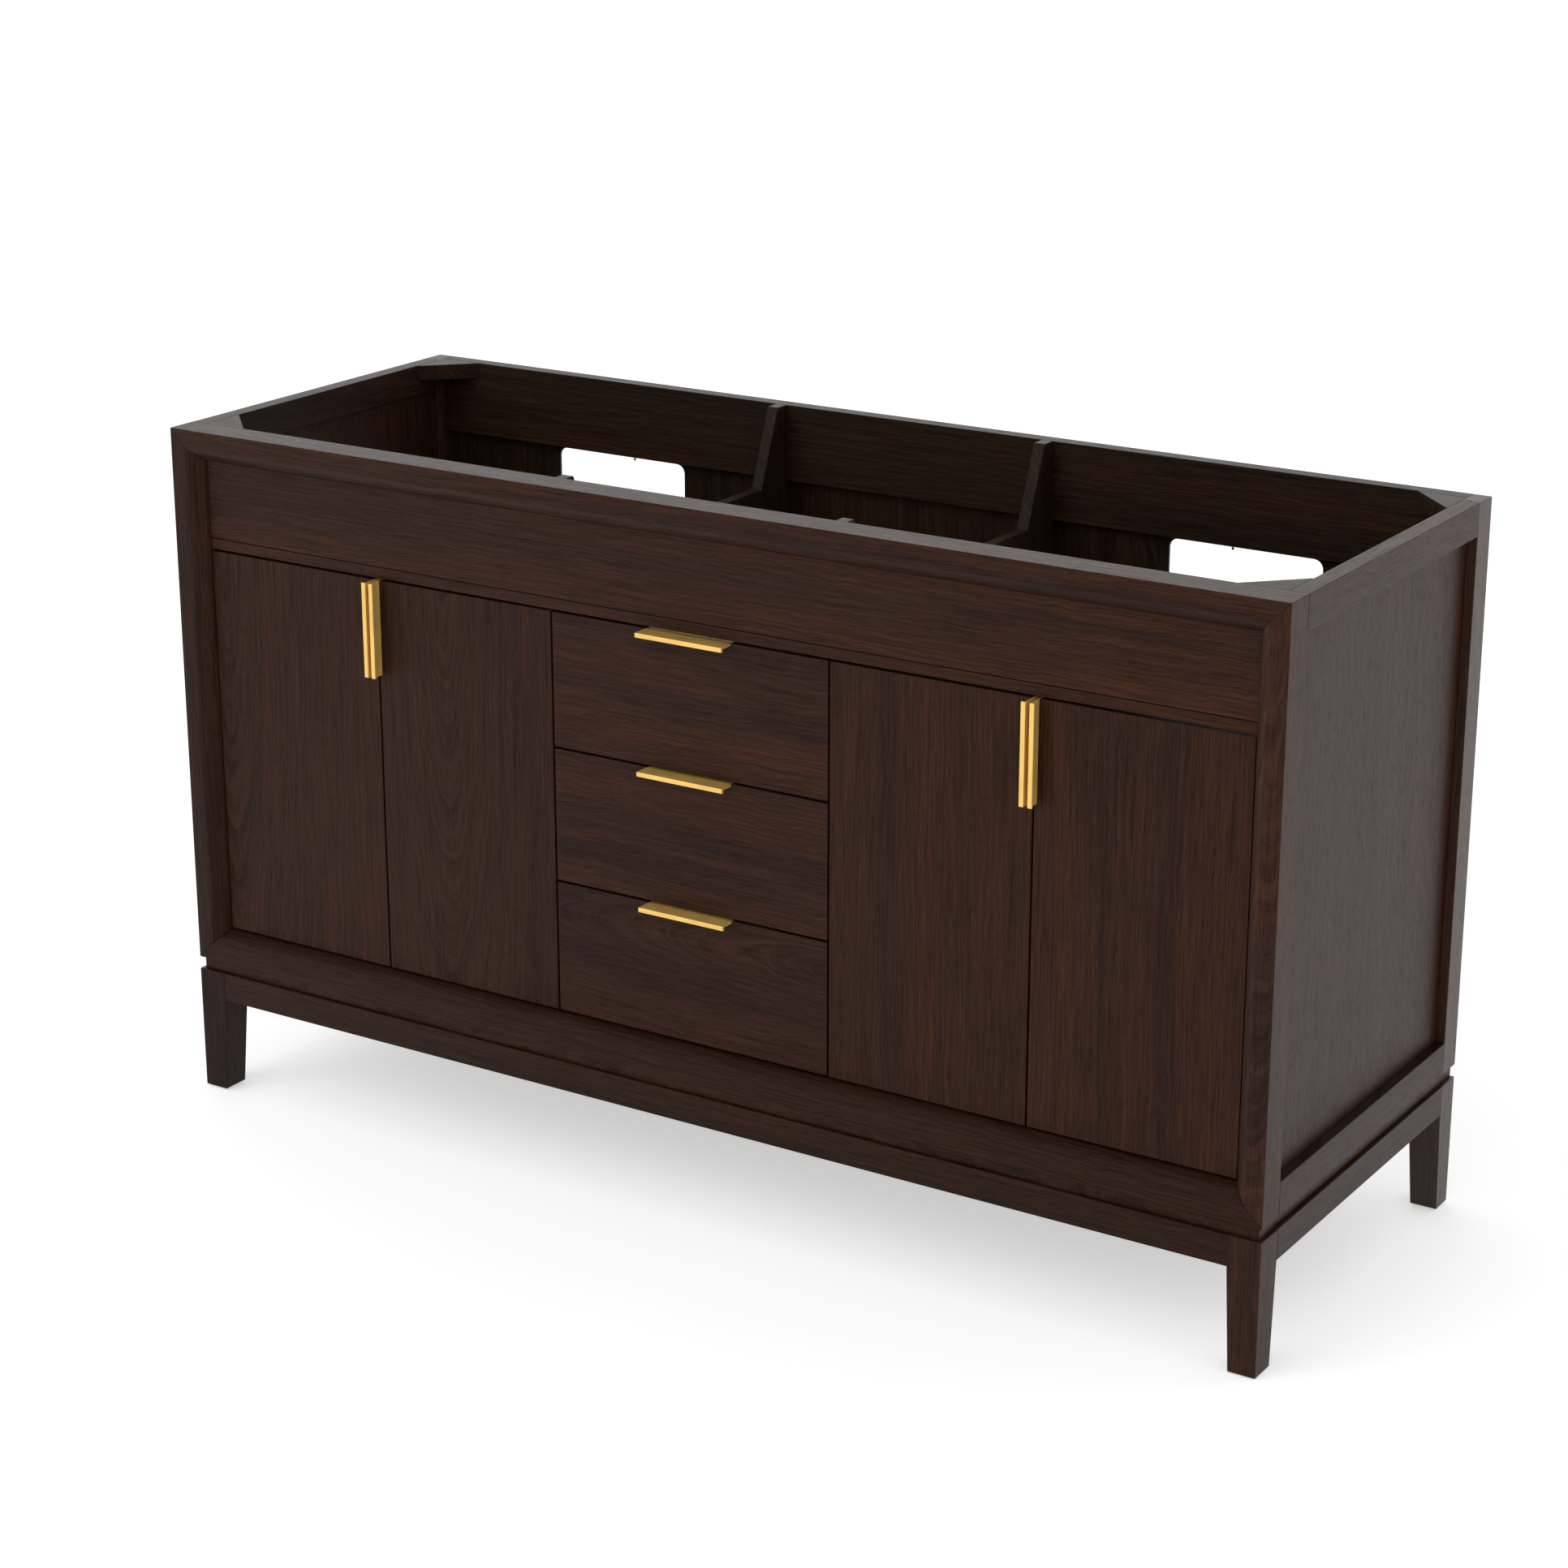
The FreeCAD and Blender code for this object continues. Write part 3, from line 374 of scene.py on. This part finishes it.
def wooden(node, kind, low, high, grain=None):
    """Timber for a node, with a cut of the log that gives its figure."""
    colours = {"espresso_wood": ESPRESSO, "interior_wood": INTERIOR, "drawer_birch": BIRCH}[kind]
    gloss = 1.75 if node.startswith(("back_post", "leg_back")) else 1.28
    name = f"wood_{node}" if grain is None else f"wood_{node}_sides"
    return timber(name, colours, grain_axis(node) if grain is None else grain, low, high,
                  CUTS.get(node, PLAIN_CUT), STAIN_AND_SHADE_TONES.get(node, 1.0), gloss,
                  0.3 if kind == "drawer_birch" else 1.0)


def soften(piece, width):
    """Join the node's split vertices and round its edges a little."""
    weld = piece.modifiers.new("weld", "WELD")
    weld.merge_threshold = 0.005 * MM
    bevel = piece.modifiers.new("round", "BEVEL")
    bevel.width = width
    bevel.segments = 2
    bevel.limit_method = "ANGLE"
    bevel.angle_limit = math.radians(35)
    bevel.harden_normals = True
    flats = piece.modifiers.new("flats", "WEIGHTED_NORMAL")
    flats.weight = 80
    for face in piece.data.polygons:
        face.use_smooth = True


for node in sorted(frame["nodes"]):
    finish_node(node)


# ---------------------------------------------------------------- pieces added to the CAD model

def add_piece(name, body, shape, made):
    """Turn a bmesh into a piece that rides on a body, with the finish it is given."""
    mesh = bpy.data.meshes.new(name)
    bmesh.ops.recalc_face_normals(shape, faces=shape.faces)
    shape.to_mesh(mesh)
    shape.free()
    mesh.materials.append(made)
    piece = bpy.data.objects.new(name, mesh)
    bpy.context.scene.collection.objects.link(piece)
    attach(piece, body)


def frame_of(axis):
    """A rotation that turns Z to the given axis."""
    return Vector(axis).normalized().to_track_quat("Z", "Y").to_matrix().to_4x4()


def turned_head(shape, put, radius, rings, sides):
    """A closed back with rings of (radius, rise) on it, as shares of radius; returns the last ring."""
    rows = [[shape.verts.new(put @ Vector((share * radius * math.cos(2 * math.pi * step / sides),
                                           share * radius * math.sin(2 * math.pi * step / sides),
                                           rise * radius))) for step in range(sides)]
            for share, rise in rings]
    for lower, upper in zip(rows, rows[1:]):
        for step in range(sides):
            onward = (step + 1) % sides
            shape.faces.new((lower[step], lower[onward], upper[onward], upper[step])).smooth = True
    shape.faces.new(rows[0][::-1])
    return rows[-1]


def screw_head(shape, place, axis, radius, turn):
    """A domed head with a cross recess, its back on the surface at place."""
    sides = 24
    put = Matrix.Translation(place) @ frame_of(axis) @ Matrix.Rotation(turn, 4, "Z")
    dome = ((1.0, 0.0), (1.0, 0.10), (0.86, 0.26), (0.60, 0.36))
    outer = turned_head(shape, put, radius, dome, sides)
    # The cross: its rim lies on the crown, and its floor is sunk below it.
    arm, blade, crown = 0.44 * radius, 0.11 * radius, 0.36 * radius
    plus = []
    for quarter in range(4):
        turned = Matrix.Rotation(quarter * math.pi / 2, 4, "Z")
        plus += [turned @ Vector((arm, -blade, crown)), turned @ Vector((arm, blade, crown)),
                 turned @ Vector((blade, blade, crown))]
    rim = [shape.verts.new(put @ point) for point in plus]
    floor = [shape.verts.new(put @ Vector((point.x * 0.7, point.y * 0.7, crown - 0.34 * radius)))
             for point in plus]
    for step in range(12):
        onward = (step + 1) % 12
        shape.faces.new((rim[onward], rim[step], floor[step], floor[onward]))
    shape.faces.new(floor)
    # The crown runs from the cross's rim to the last ring, two points of it for each on the rim.
    for step in range(12):
        onward = (step + 1) % 12
        near = (2 * step - 1) % sides
        shape.faces.new((outer[near], outer[(near + 1) % sides], outer[(near + 2) % sides],
                         rim[onward], rim[step]))


def screws(name, body, places, axis, radius, made):
    """One piece with a screw head at each place, each turned its own way."""
    draw = random.Random(name)
    shape = bmesh.new()
    for place in places:
        screw_head(shape, Vector(place), axis, radius, draw.uniform(0, math.pi / 2))
    add_piece(name, body, shape, made)


def bar(shape, low, high, ease):
    """A box between two corners, its edges rounded by ease."""
    low, high = Vector(low), Vector(high)
    made = bmesh.ops.create_cube(shape, size=1.0, matrix=Matrix.Translation((low + high) / 2)
                                 @ Matrix.Diagonal((*(high - low), 1.0)))["verts"]
    edges = {edge for vert in made for edge in vert.link_edges}
    bmesh.ops.bevel(shape, geom=list(edges), offset=ease, segments=2, affect="EDGES")


# A near-black finish for a strip that paints shadow into a groove.
PAINTED_SHADOW = plastic("shadow_gap", (0.003, 0.0022, 0.002), 0.8, 1.02)


def shadow_strip_under_false_front():
    """A near-black strip in the groove of the eased edges between the false front and the strip under
    it: painted shadow along their joint.
    """
    low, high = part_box("face_strip")
    shape = bmesh.new()
    bar(shape, (low.x + MM, low.y + 0.25 * MM, high.z - 0.9 * MM),
        (high.x - MM, low.y + 1.1 * MM, high.z + 0.9 * MM), 0.1 * MM)
    add_piece("false_front_shadow_strip", "cabinet", shape, PAINTED_SHADOW)


def tenons():
    """Stub tenons of the side rails, in the ends of the posts' panel grooves."""
    for side in SIDES:
        panel_low, panel_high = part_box(f"side_panel_{side}")
        rails_low, rails_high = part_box(f"side_rails_{side}")
        shape = bmesh.new()
        ends = ((panel_low.y, rails_low.y + MM), (rails_high.y - MM, panel_high.y))
        levels = ((rails_low.z + 0.1 * MM, panel_low.z), (panel_high.z, rails_high.z - 0.1 * MM))
        for y_low, y_high in ends:
            for z_low, z_high in levels:
                bar(shape, (panel_low.x, y_low, z_low), (panel_high.x, y_high, z_high), 0.2 * MM)
        wood = frame["nodes"][f"side_rails_{side}"].data.materials[0]
        add_piece(f"side_rail_tenons_{side}", "cabinet", shape, wood)


def hinge_screws():
    """Screws through the flange of each hinge cup, the base plates and the arms."""
    flange_half, flange_screw = 30 * MM, 24 * MM    # from a hinge's middle to its end and screws
    plate_top, plate_screw = 3 * MM, 15 * MM
    arm_top, arm_screws = 17 * MM, (-3 * MM, 15 * MM)
    arms_low, arms_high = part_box("hinge_arms")
    steel = metal("screw_steel", NICKEL, 1, arms_low, arms_high, 0.28)
    for door in DOORS:
        low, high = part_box(f"{door}_hinge_cups")
        heights = (low.z + flange_half, high.z - flange_half)
        screws(f"{door}_hinge_screws", door,
               [((low.x + high.x) / 2, high.y, height + step * flange_screw)
                for height in heights for step in (-1, 1)],
               (0, 1, 0), 3.4 * MM, steel)
    middle = (arms_low.y + arms_high.y) / 2
    divider_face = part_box("divider_right")[1].x
    for side, way in (("left", -1), ("right", 1)):
        for place, wall, facing in (("outer", way * arms_high.x, -way),
                                    ("inner", way * divider_face, way)):
            screws(f"hinge_plate_screws_{place}_{side}", "cabinet",
                   [(wall + facing * plate_top, middle, height + step * plate_screw)
                    for height in heights for step in (-1, 1)],
                   (facing, 0, 0), 3.4 * MM, steel)
            screws(f"hinge_setting_screws_{place}_{side}", "cabinet",
                   [(wall + facing * arm_top, middle + along, height)
                    for height in heights for along in arm_screws],
                   (facing, 0, 0), 2.8 * MM, steel)


def drawer_screws():
    """Four screws inside each drawer that hold its front on."""
    for drawer in DRAWERS:
        low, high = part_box(f"{drawer}_box")
        steel = metal(f"screw_steel_{drawer}", ZINC, 0, low, high, 0.32)
        screws(f"{drawer}_front_screws", drawer,
               [(way * 120 * MM, low.y + 12 * MM, low.z + rise * MM)
                for way in (-1, 1) for rise in (35, 85)],
               (0, 1, 0), 4.2 * MM, steel)


def back_nails():
    """Brad heads round the edge of the back panel, almost flush, each dished in its middle."""
    low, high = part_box("back_panel")
    margin = 8 * MM
    across = [low.x + margin + step * (high.x - low.x - 2 * margin) / 10 for step in range(11)]
    up = [low.z + margin + step * (high.z - low.z - 2 * margin) / 4 for step in range(1, 4)]
    places = [(x, z) for x in across for z in (low.z + margin, high.z - margin)]
    places += [(x, z) for x in (across[0], across[-1]) for z in up]
    shape = bmesh.new()
    for x, z in places:
        put = Matrix.Translation((x, high.y, z)) @ frame_of((0, 1, 0))
        shape.faces.new(turned_head(shape, put, 1.9 * MM,
                                    ((1.0, 0.0), (0.94, 0.10), (0.62, 0.12), (0.48, 0.03)), 16))
    steel = metal("brad_steel", (0.16, 0.14, 0.13), 0, low, high, 0.5)
    add_piece("back_panel_brads", "cabinet", shape, steel)


shadow_strip_under_false_front()
tenons()
hinge_screws()
drawer_screws()
back_nails()


# ---------------------------------------------------------------- stage, light and camera

FLOOR_GLOW = 0.46


def backdrop():
    """A pale floor that runs on past the view."""
    mesh = bpy.data.meshes.new("floor")
    outline = bmesh.new()
    bmesh.ops.create_circle(outline, cap_ends=True, radius=60.0, segments=96)
    outline.to_mesh(mesh)
    outline.free()
    floor = bpy.data.objects.new("floor", mesh)
    bpy.context.scene.collection.objects.link(floor)
    material, tree, shader = new_material("pale_floor")
    here = tree.add("ShaderNodeTexCoord").outputs["Object"]
    tone = tree.remap(tree.noise(here, scale=2.0, detail=3.0), 0.3, 0.7, 0.83, 0.84)
    tree.tree.links.new(tree.grey(tone), shader.inputs["Base Color"])
    shader.inputs["Roughness"].default_value = 0.9
    shader.inputs["Specular IOR Level"].default_value = 0.0
    shader.inputs["Emission Color"].default_value = (1, 1, 1, 1)
    shader.inputs["Emission Strength"].default_value = FLOOR_GLOW
    mesh.materials.append(material)


def sky():
    """White light from all round, stronger from the sides than from above."""
    world = bpy.data.worlds.new("studio")
    bpy.context.scene.world = world
    world.use_nodes = True
    world.node_tree.nodes.clear()
    tree = Tree(world.node_tree)
    height = tree.separate(tree.add("ShaderNodeTexCoord").outputs["Generated"])["Z"]
    strength = tree.remap(height, 0.05, 0.95, 1.06, 0.60)
    light = tree.add("ShaderNodeBackground", {"Color": (1, 1, 1, 1), "Strength": strength})
    tree.add("ShaderNodeOutputWorld", {"Surface": light.outputs["Background"]})


def lamp(name, energy, spread, heading):
    """A distant lamp as wide as a softbox: spread in degrees, shining along heading."""
    light = bpy.data.lights.new(name, "SUN")
    light.angle = math.radians(spread)
    light.energy = energy
    thing = bpy.data.objects.new(name, light)
    thing.rotation_euler = Vector(heading).to_track_quat("-Z", "Y").to_euler()
    bpy.context.scene.collection.objects.link(thing)


def camera():
    """The viewing angle: from the front right, above the top."""
    lens = bpy.data.cameras.new("camera")
    lens.lens = 79.75
    lens.sensor_width = 36.0
    lens.clip_end = 200.0
    thing = bpy.data.objects.new("camera", lens)
    thing.location = (2.169, -3.440, 1.836)
    yaw, pitch = math.radians(32.57), math.radians(-18.43)
    thing.rotation_euler = (math.pi / 2 + pitch, 0, yaw)
    bpy.context.scene.collection.objects.link(thing)
    bpy.context.scene.camera = thing


backdrop()
sky()
lamp("key", 0.88, 50, (0.38, 0.80, -0.52))
lamp("rim", 0.32, 60, (0.51, -0.80, -0.36))
camera()
bpy.context.scene.view_settings.view_transform = "Standard"
